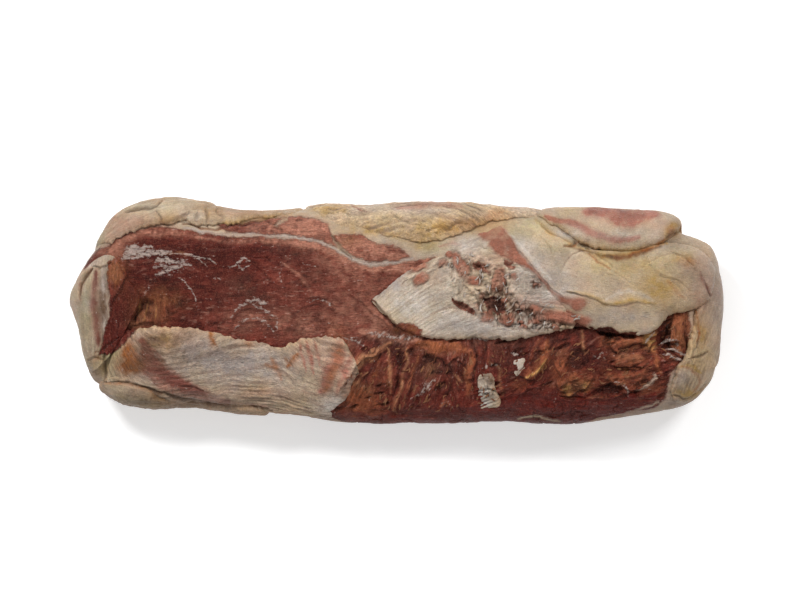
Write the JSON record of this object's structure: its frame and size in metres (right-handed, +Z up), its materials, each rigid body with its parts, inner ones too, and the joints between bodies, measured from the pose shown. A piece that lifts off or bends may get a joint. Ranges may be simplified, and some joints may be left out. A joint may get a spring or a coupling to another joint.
{
  "type": "smoked bacon slab",
  "caption": "Whole boneless slab of smoked bacon, dark-pink lean face up, with its cream fat folded over it.",
  "frame": {"origin": "on the ground under the middle of the slab", "axes": "+X along the slab, +Y across it towards the belly fold's side, +Z up"},
  "size_m": [0.5391, 0.1893, 0.076],
  "materials": {
    "cured_meat": "damp, half dull lean and fat"
  },
  "bodies": {
    "root": {"smoked_bacon": "cured_meat"}
  },
  "joints": []
}
